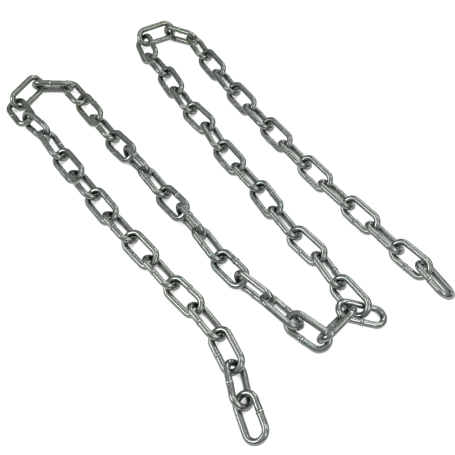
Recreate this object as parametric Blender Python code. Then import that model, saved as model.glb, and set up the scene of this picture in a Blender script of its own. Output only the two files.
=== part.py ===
"""A two-metre length of welded steel chain, laid out on a flat floor in a zigzag of four runs."""

import math

import bpy
import numpy as np
from mathutils import Matrix

MM = 0.001

# The link: round wire bent to a long oval.
WIRE = 6.0 * MM
INNER_LENGTH = 34.0 * MM
OUTER_WIDTH = 23.0 * MM

# How the wire is faceted: flat stretches around each end of the oval, and flat sides around the wire.
CROWN_STRETCHES = 7
BEVEL_RESOLUTION = 2
WIRE_SIDES = 4 + 2 * BEVEL_RESOLUTION

# Links hook into each other and touch; this is the least air left between them.
CLEARANCE = 0.15 * MM

# The lay of the chain on the floor, from its near free end to its right free end. A stretch is the lean
# of its first link, the lean of its second link, and a heading for each of its links; the leans alternate
# along it. A heading is the way that the link points, turned from +X about +Z. A lean is how far it is
# rolled about its own long axis from lying flat, its left side going up. Both are in degrees.
LAY = (
    (-31, 36, (108, 101, 115, 126, 132, 128, 130, 128, 127, 126, 127, 124)),
    (105, -17, (135, 124)),
    (54, 118, (57, -4)),
    (-20, 45, (-55, -55)),
    (-41, 38, (-55, -52)),
    (92, -34, (-52, -54)),
    (39, 93, (-53, -54)),
    (-33, 32, (-55, -53)),
    (89, -35, (-43, -43)),
    (33, -58, (-39, 48)),
    (-1, -39, (-6, 124)),
    (36, -37, (117, 129, 121, 119, 124, 123, 114, 128, 117, 117, 122, 110)),
    (39, 104, (26, -29)),
    (-33, 46, (-65, -59, -62, -57, -58, -56, -57, -55, -53, -52, -54, -50, -59)),
)

# In the turns some links are held up by their neighbours. For a link, counted from 1: how far its front
# end is raised, in degrees, and how far the whole link is held off the floor, in thicknesses of the wire.
HELD_UP = {
    14: (-6, 0.3),
    15: (8, 0.0),
    16: (2, 0.0),
    17: (1, 0.5),
    18: (1, 0.0),
    29: (-1, 0.0),
    30: (0, 0.0),
    31: (-13, 0.0),
    32: (0, 0.0),
    45: (3, 0.5),
    46: (4, 0.0),
    47: (-2, 0.25),
}

# Where the chain isn't drawn tight: how far the link, counted from 1, stays back from where it would be,
# in thicknesses of the wire. The loosest ones also slip sideways, until they rest against the long side
# of the link before them.
SLACK = {2: 0.65, 29: 0.6, 31: 0.4, 32: 0.25, 59: 0.85}
SLIPPED_LEFT = (2, 59)

# One link has turned across the chain at the fold on the right. The link before it holds its near long
# side, this far before the middle, and the link after it holds the middle of its far long side.
TURNED = 31
TURNED_HOLD = 0.28 * INNER_LENGTH

# How far behind its place a link starts before it is drawn along, and how strongly it sinks to the floor
# on the way, against how strongly it is drawn.
START_BEHIND = 1.5 * WIRE
SINKING = 0.7

STEEL_COLOUR = (0.42, 0.44, 0.43, 1.0)
STEEL_ROUGHNESS = 0.3

CROWN_RADIUS = (OUTER_WIDTH - WIRE) / 2
STRAIGHT = INNER_LENGTH + WIRE - 2 * CROWN_RADIUS

# A wire with flat sides has the round wire's area, and so its weight, at this radius to its corners.
CORNER_RADIUS = WIRE / 2 * math.sqrt(math.pi / (WIRE_SIDES / 2 * math.sin(2 * math.pi / WIRE_SIDES)))

# The middles of two wires are this far apart where they touch.
TOUCHING = 2 * CORNER_RADIUS + CLEARANCE

# How the laying is worked out: the spacing of the points along a wire, the first and the last step, the
# longest search for one link, and the number of pushes that may take a link clear of another.
SPACING = WIRE / 4
FIRST_STEP = WIRE / 8
LAST_STEP = WIRE / 300
STEPS = 200
PUSHES = 50
NEARLY = WIRE / 6000


def clear_scene():
    for item in list(bpy.data.objects):
        bpy.data.objects.remove(item, do_unlink=True)


def make_steel():
    material = bpy.data.materials.new("zinc_plated_steel")
    material.use_nodes = True
    shader = material.node_tree.nodes["Principled BSDF"]
    shader.inputs["Base Color"].default_value = STEEL_COLOUR
    shader.inputs["Metallic"].default_value = 1.0
    shader.inputs["Roughness"].default_value = STEEL_ROUGHNESS
    return material


def oval_points():
    """Points along the middle of the wire: two half circles joined by the two straight sides."""
    points = []
    for end in (1, -1):
        for step in range(CROWN_STRETCHES + 1):
            angle = math.pi * (step / CROWN_STRETCHES - 0.5)
            x = STRAIGHT / 2 + CROWN_RADIUS * math.cos(angle)
            y = CROWN_RADIUS * math.sin(angle)
            points.append((end * x, end * y, 0.0))
    return points


def make_link_curve(material):
    curve = bpy.data.curves.new("link_wire", "CURVE")
    curve.dimensions = "3D"
    curve.bevel_depth = CORNER_RADIUS
    curve.bevel_resolution = BEVEL_RESOLUTION
    points = oval_points()
    spline = curve.splines.new("POLY")
    spline.points.add(len(points) - 1)
    spline.use_cyclic_u = True
    spline.use_smooth = True
    for point, place in zip(spline.points, points):
        point.co = (*place, 1.0)
        point.tilt = math.pi / WIRE_SIDES
    curve.materials.append(material)
    return curve


def link_corners(link):
    """The corners of the faceted link, from its own middle."""
    bpy.context.view_layer.update()
    evaluated = link.evaluated_get(bpy.context.evaluated_depsgraph_get())
    mesh = evaluated.to_mesh()
    corners = np.array([vertex.co for vertex in mesh.vertices])
    evaluated.to_mesh_clear()
    return corners


def wire_line():
    """Closely spaced points along the middle of the wire."""
    points = np.array(oval_points())
    line = []
    for start, end in zip(points, np.roll(points, -1, axis=0)):
        count = max(2, round(np.linalg.norm(end - start) / SPACING))
        for step in range(count):
            line.append(start + (end - start) * step / count)
    return np.array(line)


def turned(heading, tilt, lean):
    turn = Matrix.Rotation(heading, 3, "Z") @ Matrix.Rotation(-tilt, 3, "Y") @ Matrix.Rotation(lean, 3, "X")
    return np.array(turn)


def along(heading):
    return np.array((math.cos(heading), math.sin(heading), 0.0))


def unit(vector):
    return vector / np.linalg.norm(vector)


def lay_angles():
    """The heading and the lean of every link, in radians."""
    angles = []
    for first_lean, second_lean, headings in LAY:
        for index, heading in enumerate(headings):
            lean = second_lean if index % 2 else first_lean
            angles.append((math.radians(heading), math.radians(lean)))
    return angles


def find_tilts(angles):
    """How far the front end of each link is raised, so that each end meets the higher of two neighbours."""
    heights = [CROWN_RADIUS * abs(math.sin(lean)) for heading, lean in angles]
    meetings = [max(pair) for pair in zip(heights, heights[1:])]
    meetings = [heights[0], *meetings, heights[-1]]
    tilts = [math.asin((after - before) / INNER_LENGTH) for before, after in zip(meetings, meetings[1:])]
    for number, (tilt, lift) in HELD_UP.items():
        tilts[number - 1] = math.radians(tilt)
    return tilts


def farthest(turn, direction):
    """Where the middle of a link's wire reaches farthest in a direction, from the link's own middle."""
    axis = turn[:, 0]
    square_to_link = turn[:, 2]
    in_link = unit(direction - square_to_link * (direction @ square_to_link))
    end = math.copysign(STRAIGHT / 2, direction @ axis)
    return axis * end + in_link * CROWN_RADIUS


def closest(line, other):
    """The shortest distance between two wires' middles, and the way that leads from other to line."""
    ways = line[:, None, :] - other[None, :, :]
    squares = (ways ** 2).sum(axis=2)
    first, second = np.unravel_index(squares.argmin(), squares.shape)
    return math.sqrt(squares[first, second]), ways[first, second]


def push_clear(line, other, place, floor):
    """Moves a link away from the wire before it until they only touch, and never below the floor."""
    place = np.array((place[0], place[1], max(place[2], floor)))
    for push in range(PUSHES):
        distance, way = closest(line + place, other)
        if distance >= TOUCHING - NEARLY:
            return place, True
        place = place + way / distance * (TOUCHING - distance + NEARLY)
        place[2] = max(place[2], floor)
    return place, False


def slide(line, other, place, goal, floor):
    """Moves a link towards goal until the link before it and the floor stop it."""
    place, clear = push_clear(line, other, place, floor)
    reached = place @ goal
    step = FIRST_STEP
    for trial in range(STEPS):
        if step < LAST_STEP:
            break
        moved, clear = push_clear(line, other, place + goal * step, floor)
        if clear and moved @ goal > reached + step / 10:
            place = moved
            reached = moved @ goal
        else:
            step = step / 2
    return place


def draw_tight(number, line, other, start, pull, floor):
    """Draws a link along pull while it sinks, and then lets a slack one slip back."""
    place = slide(line, other, start, unit(pull - np.array((0.0, 0.0, SINKING))), floor)
    if number in SLACK:
        place, clear = push_clear(line, other, place - pull * SLACK[number] * WIRE, floor)
    if number in SLIPPED_LEFT:
        left = np.array((-pull[1], pull[0], 0.0))
        place = slide(line, other, place, left, floor)
    return place


def lay_chain(corners):
    """The turn and the place of every link, each drawn along the floor against the one before it."""
    line = wire_line()
    angles = lay_angles()
    turns = [
        turned(heading, tilt, lean)
        for (heading, lean), tilt in zip(angles, find_tilts(angles))
    ]
    floors = [-(corners @ turn.T)[:, 2].min() for turn in turns]
    for number, (tilt, lift) in HELD_UP.items():
        floors[number - 1] += lift * WIRE
    places = [np.array((0.0, 0.0, floors[0]))]
    for index in range(1, len(angles)):
        number = index + 1
        before = turns[index - 1]
        turn = turns[index]
        pull = unit(along(angles[index][0]) + along(angles[index - 1][0]))
        if number == TURNED:
            pull = along(angles[index - 1][0])
        elif number == TURNED + 1:
            pull = along(angles[index][0])
        hold = places[-1] + farthest(before, pull)
        grip = farthest(turn, -pull)
        if number == TURNED:
            grip = turn @ np.array((-TURNED_HOLD, -CROWN_RADIUS, 0.0))
        elif number == TURNED + 1:
            hold = places[-1] + before @ np.array((0.0, CROWN_RADIUS, 0.0))
        start = hold - grip - pull * START_BEHIND
        other = line @ before.T + places[-1]
        places.append(draw_tight(number, line @ turn.T, other, start, pull, floors[index]))
    return turns, places


def centred(corners, turns, places):
    """The places, moved so that the middle of the whole chain's footprint is the origin."""
    everything = np.vstack([corners @ turn.T + place for turn, place in zip(turns, places)])
    middle = (everything.min(axis=0) + everything.max(axis=0)) / 2
    middle[2] = 0.0
    return [place - middle for place in places]


def main():
    clear_scene()
    chain = bpy.data.collections.new("welded_chain")
    bpy.context.scene.collection.children.link(chain)
    curve = make_link_curve(make_steel())
    links = []
    for number in range(1, len(lay_angles()) + 1):
        link = bpy.data.objects.new(f"link_{number:02d}", curve)
        chain.objects.link(link)
        links.append(link)
    corners = link_corners(links[0])
    turns, places = lay_chain(corners)
    for link, turn, place in zip(links, turns, centred(corners, turns, places)):
        link.matrix_world = Matrix.Translation(place) @ Matrix(turn).to_4x4()


main()
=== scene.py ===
"""Looks of a two-metre length of zinc-plated steel chain, laid out in a zigzag on a white floor."""

import math

import bpy
import numpy as np
from mathutils import Matrix, Vector


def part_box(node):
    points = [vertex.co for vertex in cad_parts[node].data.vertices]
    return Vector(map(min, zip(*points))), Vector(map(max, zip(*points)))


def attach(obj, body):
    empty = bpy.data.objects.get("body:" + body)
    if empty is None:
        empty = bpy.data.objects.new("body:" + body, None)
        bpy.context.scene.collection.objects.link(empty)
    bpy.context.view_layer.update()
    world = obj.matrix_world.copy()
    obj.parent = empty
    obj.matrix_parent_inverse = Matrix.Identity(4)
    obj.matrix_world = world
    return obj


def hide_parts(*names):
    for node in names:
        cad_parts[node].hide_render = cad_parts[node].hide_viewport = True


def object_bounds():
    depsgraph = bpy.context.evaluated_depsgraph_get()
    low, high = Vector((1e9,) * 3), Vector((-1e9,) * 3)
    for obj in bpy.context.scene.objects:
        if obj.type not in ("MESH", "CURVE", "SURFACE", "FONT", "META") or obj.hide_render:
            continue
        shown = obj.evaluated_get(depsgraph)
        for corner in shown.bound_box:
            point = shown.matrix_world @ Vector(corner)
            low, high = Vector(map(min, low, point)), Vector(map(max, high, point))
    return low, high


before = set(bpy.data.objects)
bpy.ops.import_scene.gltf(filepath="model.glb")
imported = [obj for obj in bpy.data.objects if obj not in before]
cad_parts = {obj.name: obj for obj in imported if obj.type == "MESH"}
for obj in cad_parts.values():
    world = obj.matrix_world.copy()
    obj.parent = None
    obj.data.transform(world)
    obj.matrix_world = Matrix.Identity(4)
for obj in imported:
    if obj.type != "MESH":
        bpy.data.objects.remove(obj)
CAD_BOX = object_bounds()

MM = 0.001

# Nothing reaches out of the CAD model's box, or quite down to the floor.
LOWEST = np.array(CAD_BOX[0]) + np.array((0.0, 0.0, 0.02 * MM))
HIGHEST = np.array(CAD_BOX[1])

# The link, as it is made: round wire bent to an oval and butt-welded in the middle of one long side.
WIRE_RADIUS = 3.0 * MM
CROWN_RADIUS = 8.5 * MM
STRAIGHT = 23.0 * MM
HALF_STRAIGHT = STRAIGHT / 2
BEND_LENGTH = math.pi * CROWN_RADIUS
WIRE_LENGTH = 2 * STRAIGHT + 2 * BEND_LENGTH

# How the wire is divided: sides around it, and cross-sections along it, closest together at the weld.
SIDES = 24
WELD_SPACING = 0.22 * MM
WELD_SECTIONS = 13
WELD_END = 3.6 * MM
WELD_TO_BEND_SECTIONS = 8
BEND_SECTIONS = 24
PLAIN_SIDE_SECTIONS = 15

# How unevenly a link is bent, and its wire drawn: how far the long sides bow in and out, how far each bend
# is pushed to one side, how high the waves in the wire's thickness are and how many there are along it, and
# how much flatter the wire gets in a bend. Where a wave starts is any angle, in radians.
BOW = (-0.2 * MM, 0.15 * MM)
LOPSIDED = 0.18 * MM
WAVE_HEIGHT = (0.01 * MM, 0.025 * MM)
WAVES_ALONG = (2, 5, 9)
SQUEEZE_IN_BENDS = 0.018
ANY_ANGLE = 6.3

# Where the next link bears, inside each bend: how deep it has worn, and how wide that spot and the painted
# shade in the hollow around it are, as shares of half a bend.
BEARING_WEAR = 0.13 * MM
BEARING_WIDTH = 0.28
PAINTED_SHADE_WIDTH = 0.6

# The weld: a thin ring of pressed-out steel, a fine groove on both sides of it, and a low swelling about it.
# Jaws gripped the wire beside it, it was heated, and its two ends meet slightly out of line.
RING_HEIGHT = 0.28 * MM
THICK_RING_HEIGHT = 0.55 * MM
RING_WIDTH = 0.6 * MM
GROOVE_FROM_RING = 1.15 * MM
GROOVE_WIDTH = 0.3 * MM
GROOVE_DEPTH = 0.1 * MM
SWELLING_WIDTH = 2.6 * MM
SWELLING_HEIGHT = 0.1 * MM
GRIP_FROM_RING = 4.6 * MM
GRIP_WIDTH = 1.8 * MM
GRIP_DEPTH = 0.1 * MM
GRIP_ANGLE = 0.35
HEAT_WIDTH = 3.2 * MM
STEP = 0.22 * MM
STEP_WIDTH = 0.3 * MM
STEP_FADES_OVER = 6.0 * MM

# Links whose weld is on the side that lies up and to the right in the picture, and links with a thick weld.
WELD_RIGHT = (1, 5, 9, 12, 15, 18, 23, 26, 28, 33, 36, 41, 44, 49, 55)
THICK_WELDS = (1, 8, 26, 33, 37)
PICTURE_LEFT = Vector((-0.8, -0.6, 0.0))

# How matt the zinc is along the long sides, from 0 to 1, by the number of the link: matt zinc is rougher and
# gets none of the painted sheen, a lighter colour that stands for highlights. The free ends and the fold on
# the right get the most painted sheen, and so does every bend, which is rubbed by its neighbour and painted
# with highlight.
MATT = (
    (1, 6, 9, 23, 27, 31, 34, 38, 50, 56),
    (0.0, 0.2, 1.0, 1.0, 0.0, 0.1, 0.3, 1.0, 1.0, 0.4),
)

# How light each link is, and how much yellow-green the passivated zinc shows on it.
TONES = np.random.default_rng(7).uniform(-1, 1, 59)
PLAIN_TINT = 0.03
TINTS = {
    4: 0.1, 5: 0.2, 6: 0.2, 7: 0.1, 14: 0.2, 15: 0.35, 16: 0.45, 17: 0.35, 18: 0.3, 19: 0.2,
    44: 0.2, 45: 0.3, 46: 0.35, 47: 0.25,
}

# The colours of the zinc and of what lies on it, and of the painted sheen and the painted shade.
DARK_ZINC = (0.240, 0.263, 0.244)
PALE_ZINC = (0.385, 0.415, 0.391)
LIGHTER_ZINC = (0.42, 0.445, 0.425)
# Painted sheen: a lighter zinc that stands for highlights, on the near links and in every bend.
PAINTED_SHEEN_ZINC = (0.50, 0.51, 0.50)
STREAK = (0.16, 0.175, 0.16)
YELLOW_GREEN = (0.37, 0.42, 0.24)
COOL_PATCH = (0.27, 0.33, 0.335)
SPECK = (0.68, 0.71, 0.68)
# Painted shade inside the bends, where the links shade each other.
PAINTED_SHADE_GREY = (0.12, 0.14, 0.12)
# Grime and painted shade on the spot where the next link bears.
GRIME_AND_SHADE = (0.09, 0.10, 0.085)
HEATED_ZINC = (0.40, 0.39, 0.40)
FLECK = (0.90, 0.91, 0.88)
WELD_SCALE = (0.07, 0.07, 0.068)

# The floor is a white paint that glows, so that no shadow is seen but the painted shade in the narrow wells
# between
# links: the glow fades where less than the second of these shares of the sky is open, and ends at the first.
# The chain doesn't mirror that glow. It mirrors a duller floor just under it.
FLOOR_GLOW = 0.95
FLOOR_GREY = 0.25
WELL_WIDTH = 10 * MM
WELL_OPEN_SKY = (0.14, 0.36)
FLOOR_IN_REFLECTIONS = 0.82
DULL_FLOOR_GLOW = 0.12
FLOOR_DEPTH = 0.1 * MM
DULL_FLOOR_DEPTH = 0.2 * MM
STAGE_RADIUS = 6.0
RIM_CORNERS = 48
BACKDROP_HEIGHT = 3.0

# How light the studio's walls and ceiling are, from the horizon (0) to straight above (1), and how much
# greener than grey.
STUDIO_GREYS = ((0.0, 0.02), (0.2, 0.105), (0.5, 0.41), (0.75, 0.47), (1.0, 0.55))
STUDIO_GREEN = 1.04

# The soft lamps around the chain, all as far from its middle: the way to each, turned from +X about +Z, and
# its height over the floor, both in degrees, its two sides in metres, and how bright its face is.
LAMP_DISTANCE = 1.2
LAMPS = (
    ("left_softbox", 195, 31, (0.8, 0.26), 5.0),
    ("back_softbox", 68, 46, (0.7, 0.16), 4.1),
    ("right_softbox", 58, 15, (0.6, 0.20), 2.5),
    ("side_softbox", 8, 44, (0.6, 0.22), 2.7),
    ("front_softbox", -50, 42, (0.6, 0.26), 3.0),
    ("top_softbox", 0, 90, (0.3, 0.3), 2.8),
)

# The way that the long runs of the chain lie.
RUN = Vector((-0.57, 0.82, 0.0))

# The camera: looking down at the floor, aimed at a point on it.
ELEVATION = 50.35
AZIMUTH = 0.72
DISTANCE = 724.9 * MM
AIM = (18.93 * MM, -37.38 * MM)
FOCAL_PIXELS = 780.3
PICTURE_PIXELS = 455
SENSOR = 36.0


# Shape of one link.

def section_places():
    """How far along the wire each cross-section is, from the weld."""
    by_weld = list(np.arange(1, WELD_SECTIONS + 1) * WELD_SPACING)
    to_bend = list(np.linspace(WELD_END, HALF_STRAIGHT, WELD_TO_BEND_SECTIONS))
    round_bend = BEND_LENGTH * np.arange(BEND_SECTIONS + 1) / BEND_SECTIONS
    plain_side = HALF_STRAIGHT + BEND_LENGTH
    places = [0.0, *by_weld, *to_bend]
    places += list(HALF_STRAIGHT + round_bend[1:])
    places += list(plain_side + STRAIGHT * np.arange(1, PLAIN_SIDE_SECTIONS) / PLAIN_SIDE_SECTIONS)
    places += list(plain_side + STRAIGHT + round_bend)
    places += [WIRE_LENGTH - place for place in reversed(to_bend[:-1])]
    places += [WIRE_LENGTH - place for place in reversed(by_weld)]
    return np.array(places)


def bend_at(turn, end):
    """The same as path_at, this far round the bend at the front end (1) or the back end (-1)."""
    out = (end * math.sin(turn), end * math.cos(turn))
    middle = (end * HALF_STRAIGHT + CROWN_RADIUS * out[0], CROWN_RADIUS * out[1])
    return middle, out, 1 - abs(2 * turn / math.pi - 1)


def path_at(place):
    """The middle of the wire there, the way out of the loop, and how far into a bend it is, from 0 to 1."""
    plain_side = HALF_STRAIGHT + BEND_LENGTH
    second_bend = plain_side + STRAIGHT
    if place < HALF_STRAIGHT:
        return (place, CROWN_RADIUS), (0.0, 1.0), 0.0
    if place < plain_side:
        return bend_at((place - HALF_STRAIGHT) / CROWN_RADIUS, 1)
    if place < second_bend:
        return (HALF_STRAIGHT - (place - plain_side), -CROWN_RADIUS), (0.0, -1.0), 0.0
    if place < second_bend + BEND_LENGTH:
        return bend_at((place - second_bend) / CROWN_RADIUS, -1)
    return (place - WIRE_LENGTH, CROWN_RADIUS), (0.0, 1.0), 0.0


PLACES = section_places()
PATH = [path_at(place) for place in PLACES]
OUT = np.array([spot[1] for spot in PATH])
BEND = np.array([spot[2] for spot in PATH])
FROM_WELD = np.where(PLACES < WIRE_LENGTH / 2, PLACES, PLACES - WIRE_LENGTH)
AROUND = np.arange(SIDES) * 2 * math.pi / SIDES


def hump(distance, width):
    """A smooth bump: 1 where the distance is 0, about a third at this width, and soon nothing beyond it."""
    return np.exp(-(distance / width) ** 2)


def all_round(along):
    """Values along the wire, repeated around it."""
    return np.repeat(along[:, None], SIDES, axis=1)


def bent_middle(chance):
    """The middle of the wire of a link that isn't bent quite like any other."""
    middle = np.array([spot[0] for spot in PATH])
    bow = chance.uniform(*BOW, 2)
    side = np.where(middle[:, 1] > 0, bow[0], bow[1])
    from_middle = middle[:, 0] / (HALF_STRAIGHT + CROWN_RADIUS)
    middle[:, 1] += side * np.sign(middle[:, 1]) * np.cos(from_middle * math.pi / 2)
    lopsided = chance.uniform(-LOPSIDED, LOPSIDED, 2)
    middle[:, 1] += np.where(middle[:, 0] > 0, lopsided[0], lopsided[1]) * BEND
    return middle


def thickness_waves(chance):
    waves = np.zeros(len(PLACES))
    for count in WAVES_ALONG:
        height = chance.uniform(*WAVE_HEIGHT)
        waves += height * np.sin(PLACES / WIRE_LENGTH * 2 * math.pi * count + chance.uniform(0, ANY_ANGLE))
    return waves


def ragged_edge(chance):
    """How the height of the weld's ring varies around the wire."""
    slow = np.sin(AROUND * 2 + chance.uniform(0, ANY_ANGLE))
    quick = np.sin(AROUND * 5 + chance.uniform(0, ANY_ANGLE))
    return 0.75 + 0.25 * slow + 0.25 * quick


def link_points(number):
    """The link's corners in its own frame, with what the material needs to know about each."""
    chance = np.random.default_rng(number)
    middle = bent_middle(chance)
    waves = thickness_waves(chance)
    ragged = ragged_edge(chance)
    ring_height = THICK_RING_HEIGHT if number in THICK_WELDS else RING_HEIGHT
    ring_height *= chance.uniform(0.8, 1.2)
    step = chance.uniform(-STEP, STEP, 2)

    inward = 0.5 - 0.5 * np.cos(AROUND)
    bearing = hump(1 - BEND, BEARING_WIDTH)[:, None] * inward ** 6
    painted_shade = hump(1 - BEND, PAINTED_SHADE_WIDTH)[:, None] * inward ** 2
    ring = hump(FROM_WELD, RING_WIDTH)
    groove = hump(np.abs(FROM_WELD) - GROOVE_FROM_RING, GROOVE_WIDTH)
    swelling = hump(FROM_WELD, SWELLING_WIDTH)
    grips = hump(np.abs(FROM_WELD) - GRIP_FROM_RING, GRIP_WIDTH)
    jaws = np.abs(np.sin(AROUND - GRIP_ANGLE)) ** 10

    radius = all_round(WIRE_RADIUS + waves)
    radius *= 1 - SQUEEZE_IN_BENDS * BEND[:, None] * np.cos(AROUND) ** 2
    radius -= BEARING_WEAR * bearing
    radius += ring_height * ring[:, None] * ragged
    radius -= GROOVE_DEPTH * groove[:, None]
    radius += SWELLING_HEIGHT * swelling[:, None]
    radius -= GRIP_DEPTH * grips[:, None] * jaws

    shift = np.tanh(FROM_WELD / STEP_WIDTH) * hump(FROM_WELD, STEP_FADES_OVER)
    outward = radius * np.cos(AROUND)
    points = np.zeros((len(PLACES), SIDES, 3))
    points[:, :, 0] = middle[:, 0, None] + outward * OUT[:, 0, None]
    points[:, :, 1] = middle[:, 1, None] + outward * OUT[:, 1, None] + (step[0] * shift)[:, None]
    points[:, :, 2] = radius * np.sin(AROUND) + (step[1] * shift)[:, None]

    # The same corners on the wire as it was before it was bent.
    wire = np.zeros((len(PLACES), SIDES, 3))
    wire[:, :, 0] = FROM_WELD[:, None]
    wire[:, :, 1] = WIRE_RADIUS * np.cos(AROUND)
    wire[:, :, 2] = WIRE_RADIUS * np.sin(AROUND)
    marks = {
        "groove": all_round(groove),
        "crest": all_round(ring) * np.clip(ragged, 0.0, 1.0),
        "heat": all_round(hump(FROM_WELD, HEAT_WIDTH)),
        "bearing": bearing,
        "painted_shade": painted_shade,
        "matt": all_round(np.interp(number, *MATT) * (1 - BEND)),
        "tone": np.full(radius.shape, TONES[number - 1]),
        "tint": np.full(radius.shape, TINTS.get(number, PLAIN_TINT)),
    }
    return points.reshape(-1, 3), wire, marks


def link_faces():
    sections = len(PLACES)
    faces = []
    for section in range(sections):
        following = (section + 1) % sections
        for side in range(SIDES):
            beside = (side + 1) % SIDES
            faces.append((
                section * SIDES + side,
                section * SIDES + beside,
                following * SIDES + beside,
                following * SIDES + side,
            ))
    return faces


LINK_FACES = link_faces()


# Chain.

def pose_of(node, ahead):
    """The solid's middle and its directions: along it towards ahead, and across it towards picture left."""
    corners = np.array([tuple(vertex.co) for vertex in node.data.vertices])
    corners = np.unique(np.round(corners, 7), axis=0)
    middle = corners.mean(axis=0)
    directions = np.linalg.svd(corners - middle, full_matrices=False)[2]
    length = Vector(directions[0])
    square = Vector(directions[2])
    if length.dot(ahead) < 0:
        length = -length
    across = square.cross(length)
    if across.dot(PICTURE_LEFT) < 0:
        across = -across
    return middle, length, across


def middle_of(name):
    low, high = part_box(name)
    return (low + high) / 2


def make_link(number, name, ahead, material):
    """The round link in the place of one solid, with its weld on the side that lies across."""
    middle, length, across = pose_of(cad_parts[name], ahead)
    if number in WELD_RIGHT:
        across = -across
    square = length.cross(across)
    turn = Matrix((length, across, square)).transposed()
    points, wire, marks = link_points(number)
    places = points @ np.array(turn).T + middle
    places = np.clip(places, LOWEST, HIGHEST)
    mesh = bpy.data.meshes.new(f"{name}_wire")
    mesh.from_pydata(places.tolist(), [], LINK_FACES)
    mesh.attributes.new("wire", "FLOAT_VECTOR", "POINT").data.foreach_set("vector", wire.ravel())
    for key, values in marks.items():
        mesh.attributes.new(key, "FLOAT", "POINT").data.foreach_set("value", values.ravel())
    mesh.shade_smooth()
    mesh.update()
    link = bpy.data.objects.new(f"{name}_round", mesh)
    bpy.context.scene.collection.objects.link(link)
    link.data.materials.append(material)
    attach(link, "root")
    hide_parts(name)


def make_chain():
    zinc = make_zinc()
    count = len(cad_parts)
    names = [f"link_{number:02d}" for number in range(1, count + 1)]
    middles = [middle_of(name) for name in names]
    for index, name in enumerate(names):
        first = min(index, count - 2)
        make_link(index + 1, name, middles[first + 1] - middles[first], zinc)


# Material.

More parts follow.
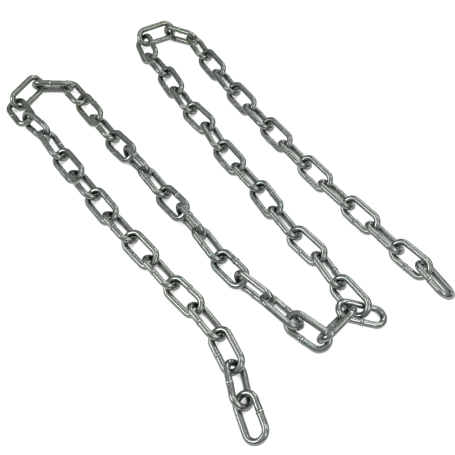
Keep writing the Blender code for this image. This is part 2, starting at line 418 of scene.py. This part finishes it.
def make_zinc():
    """Zinc that is mottled and streaked along the wire, with painted sheen on some links and in the bends,
    grime and painted shade where links bear, and flecks at the weld.
    """
    material = bpy.data.materials.new("zinc_plated_steel")
    material.use_nodes = True
    nodes = material.node_tree.nodes
    links = material.node_tree.links
    shader = nodes["Principled BSDF"]
    shader.inputs["Metallic"].default_value = 1.0
    shader.inputs["Specular IOR Level"].default_value = 0.5

    def mark(name, output="Fac"):
        node = nodes.new("ShaderNodeAttribute")
        node.attribute_name = name
        return node.outputs[output]

    def noise(source, scale, detail, roughness=0.55, stretch=None):
        texture = nodes.new("ShaderNodeTexNoise")
        texture.inputs["Scale"].default_value = scale
        texture.inputs["Detail"].default_value = detail
        texture.inputs["Roughness"].default_value = roughness
        if stretch:
            mapping = nodes.new("ShaderNodeMapping")
            mapping.inputs["Scale"].default_value = stretch
            links.new(source, mapping.inputs["Vector"])
            source = mapping.outputs["Vector"]
        links.new(source, texture.inputs["Vector"])
        return texture.outputs["Fac"]

    def ramp(source, low, high, low_value=0.0, high_value=1.0):
        node = nodes.new("ShaderNodeMapRange")
        node.inputs["From Min"].default_value = low
        node.inputs["From Max"].default_value = high
        node.inputs["To Min"].default_value = low_value
        node.inputs["To Max"].default_value = high_value
        links.new(source, node.inputs["Value"])
        return node.outputs["Result"]

    def maths(operation, first, second):
        node = nodes.new("ShaderNodeMath")
        node.operation = operation
        links.new(first, node.inputs[0])
        if isinstance(second, float):
            node.inputs[1].default_value = second
        else:
            links.new(second, node.inputs[1])
        return node.outputs["Value"]

    def total(parts):
        """The sum of these values, each times its share."""
        amounts = [maths("MULTIPLY", source, share) for source, share in parts]
        result = amounts[0]
        for amount in amounts[1:]:
            result = maths("ADD", result, amount)
        return result

    def mix(factor, first, second):
        node = nodes.new("ShaderNodeMix")
        node.data_type = "RGBA"
        for index, value in ((0, factor), (6, first), (7, second)):
            if isinstance(value, tuple):
                node.inputs[index].default_value = (*value, 1.0)
            else:
                links.new(value, node.inputs[index])
        return node.outputs[2]

    place = nodes.new("ShaderNodeTexCoord").outputs["Object"]
    wire = mark("wire", "Vector")
    groove = mark("groove")
    bearing = mark("bearing")
    matt = mark("matt")
    mottle = noise(place, 240.0, 3.0)
    patches = noise(place, 38.0, 2.0)
    dents = noise(place, 240.0, 1.0)
    crystals = noise(place, 900.0, 3.0, 0.6)
    streaks = noise(wire, 1.0, 3.0, 0.6, (22.0, 620.0, 620.0))
    scratches = noise(wire, 1.0, 2.0, 0.7, (90.0, 3800.0, 3800.0))

    # Each layer covers what is under it by its share.
    layers = (
        (ramp(mark("tone"), -1.0, 1.0, 0.0, 0.3), LIGHTER_ZINC),
        # Painted sheen: lighter zinc where the zinc isn't matt, standing for highlights.
        (ramp(matt, 0.0, 1.0, 0.6, 0.0), PAINTED_SHEEN_ZINC),
        (ramp(streaks, 0.42, 0.68, 0.0, 0.4), STREAK),
        (maths("MULTIPLY", mark("tint"), ramp(patches, 0.35, 0.65, 0.2, 1.0)), YELLOW_GREEN),
        (ramp(patches, 0.50, 0.70, 0.0, 0.5), COOL_PATCH),
        (ramp(crystals, 0.60, 0.74, 0.0, 0.28), SPECK),
        # Painted shade on the inside of each bend.
        (maths("MULTIPLY", mark("painted_shade"), ramp(mottle, 0.2, 0.7, 0.4, 0.75)), PAINTED_SHADE_GREY),
        # Grime and painted shade where the next link bears.
        (maths("MULTIPLY", bearing, ramp(mottle, 0.2, 0.7, 0.45, 0.95)), GRIME_AND_SHADE),
        (maths("MULTIPLY", mark("heat"), ramp(mottle, 0.3, 0.7, 0.2, 0.6)), HEATED_ZINC),
        (maths("MULTIPLY", mark("crest"), ramp(crystals, 0.35, 0.55, 0.3, 1.0)), FLECK),
        (maths("MULTIPLY", groove, ramp(crystals, 0.35, 0.65, 0.55, 0.95)), WELD_SCALE),
    )
    colour = mix(ramp(mottle, 0.3, 0.7), DARK_ZINC, PALE_ZINC)
    for share, layer in layers:
        colour = mix(share, colour, layer)
    links.new(colour, shader.inputs["Base Color"])

    gloss = maths("ADD", ramp(mottle, 0.25, 0.75, 0.09, 0.16), ramp(streaks, 0.35, 0.7, 0.0, 0.06))
    gloss = maths("ADD", gloss, total(((groove, 0.16), (bearing, 0.08), (matt, 0.09))))
    links.new(gloss, shader.inputs["Roughness"])

    bump = nodes.new("ShaderNodeBump")
    bump.inputs["Strength"].default_value = 0.5
    bump.inputs["Distance"].default_value = 0.09 * MM
    grain = total(((streaks, 0.3), (scratches, 0.06), (crystals, 0.07), (dents, 2.2)))
    links.new(grain, bump.inputs["Height"])
    links.new(bump.outputs["Normal"], shader.inputs["Normal"])
    return material


# Floor, light and camera.

def make_floor_paint(name, grey):
    """A matt paint in this grey that glows white, and its shader."""
    material = bpy.data.materials.new(name)
    material.use_nodes = True
    shader = material.node_tree.nodes["Principled BSDF"]
    shader.inputs["Base Color"].default_value = (grey, grey, grey, 1.0)
    shader.inputs["Roughness"].default_value = 0.95
    shader.inputs["Specular IOR Level"].default_value = 0.1
    shader.inputs["Emission Color"].default_value = (1.0, 1.0, 1.0, 1.0)
    return material, shader


def make_white_paint():
    """The white floor's paint, which glows less deep down between links: painted shade in the wells."""
    material, shader = make_floor_paint("white_floor", FLOOR_GREY)
    nodes = material.node_tree.nodes
    links = material.node_tree.links
    # Painted shade: the glow fades in the narrow wells between links.
    open_sky = nodes.new("ShaderNodeAmbientOcclusion")
    open_sky.samples = 8
    open_sky.inputs["Distance"].default_value = WELL_WIDTH
    glow = nodes.new("ShaderNodeMapRange")
    glow.inputs["From Min"].default_value = WELL_OPEN_SKY[0]
    glow.inputs["From Max"].default_value = WELL_OPEN_SKY[1]
    glow.inputs["To Max"].default_value = FLOOR_GLOW
    links.new(open_sky.outputs["AO"], glow.inputs["Value"])
    links.new(glow.outputs["Result"], shader.inputs["Emission Strength"])
    return material


def make_dull_paint():
    material, shader = make_floor_paint("dull_floor", FLOOR_IN_REFLECTIONS)
    shader.inputs["Emission Strength"].default_value = DULL_FLOOR_GLOW
    return material


def make_stage(name, corners, faces, material):
    mesh = bpy.data.meshes.new(name)
    mesh.from_pydata(corners, [], faces)
    stage = bpy.data.objects.new(name, mesh)
    bpy.context.scene.collection.objects.link(stage)
    stage.data.materials.append(material)
    return stage


def rim_at(height):
    turns = np.arange(RIM_CORNERS) * 2 * math.pi / RIM_CORNERS
    return [(STAGE_RADIUS * math.cos(turn), STAGE_RADIUS * math.sin(turn), height) for turn in turns]


def make_floor():
    """The white floor and backdrop for the camera, and the duller floor that only the chain mirrors."""
    plate = [tuple(range(RIM_CORNERS))]
    ring = []
    for step in range(RIM_CORNERS):
        following = (step + 1) % RIM_CORNERS
        ring.append((step, following, following + RIM_CORNERS, step + RIM_CORNERS))
    low = rim_at(-FLOOR_DEPTH)
    white = make_white_paint()
    floor = make_stage("floor", low, plate, white)
    backdrop = make_stage("backdrop", low + rim_at(BACKDROP_HEIGHT), ring, white)
    for piece in (floor, backdrop):
        piece.visible_glossy = False
        piece.visible_shadow = False
        piece.visible_diffuse = False
    mirrored = make_stage("mirrored_floor", rim_at(-DULL_FLOOR_DEPTH), plate, make_dull_paint())
    mirrored.visible_camera = False


def make_lamp(name, bearing, height, size, brightness):
    """A soft lamp aimed at the middle of the floor, its long side in line with the runs of the chain."""
    lamp = bpy.data.lights.new(name, "AREA")
    lamp.shape = "RECTANGLE"
    lamp.size = size[0]
    lamp.size_y = size[1]
    lamp.energy = brightness * math.pi * size[0] * size[1]
    holder = bpy.data.objects.new(name, lamp)
    bpy.context.scene.collection.objects.link(holder)
    slope = math.radians(height)
    way = math.radians(bearing)
    back = Vector((math.cos(way) * math.cos(slope), math.sin(way) * math.cos(slope), math.sin(slope)))
    long_way = (RUN - back * RUN.dot(back)).normalized()
    turn = Matrix((long_way, back.cross(long_way), back)).transposed()
    holder.matrix_world = Matrix.Translation(back * LAMP_DISTANCE) @ turn.to_4x4()


def make_light():
    """A studio that is dark all round and greyer overhead, and the soft lamps."""
    world = bpy.data.worlds.new("studio")
    bpy.context.scene.world = world
    world.use_nodes = True
    nodes = world.node_tree.nodes
    links = world.node_tree.links
    direction = nodes.new("ShaderNodeTexCoord")
    split = nodes.new("ShaderNodeSeparateXYZ")
    shade = nodes.new("ShaderNodeValToRGB")
    background = nodes["Background"]
    background.inputs["Strength"].default_value = 1.0
    links.new(direction.outputs["Generated"], split.inputs["Vector"])
    links.new(split.outputs["Z"], shade.inputs["Fac"])
    links.new(shade.outputs["Color"], background.inputs["Color"])
    steps = shade.color_ramp.elements
    for height, grey in STUDIO_GREYS[1:-1]:
        steps.new(height)
    for step, (height, grey) in zip(steps, STUDIO_GREYS):
        step.color = (grey, STUDIO_GREEN * grey, grey, 1.0)
    for lamp in LAMPS:
        make_lamp(*lamp)


def make_camera():
    camera = bpy.data.cameras.new("camera")
    camera.sensor_width = SENSOR
    camera.lens = SENSOR * FOCAL_PIXELS / PICTURE_PIXELS
    camera.clip_start = 0.01
    camera.clip_end = 30.0
    holder = bpy.data.objects.new("camera", camera)
    bpy.context.scene.collection.objects.link(holder)
    slope = math.radians(ELEVATION)
    turn = math.radians(AZIMUTH)
    back = Vector((math.sin(turn) * math.cos(slope), -math.cos(turn) * math.cos(slope), math.sin(slope)))
    holder.location = Vector((AIM[0], AIM[1], 0.0)) + back * DISTANCE
    holder.rotation_euler = (math.pi / 2 - slope, 0.0, turn)
    bpy.context.scene.camera = holder
    bpy.context.scene.view_settings.view_transform = "Standard"


make_chain()
make_floor()
make_light()
make_camera()
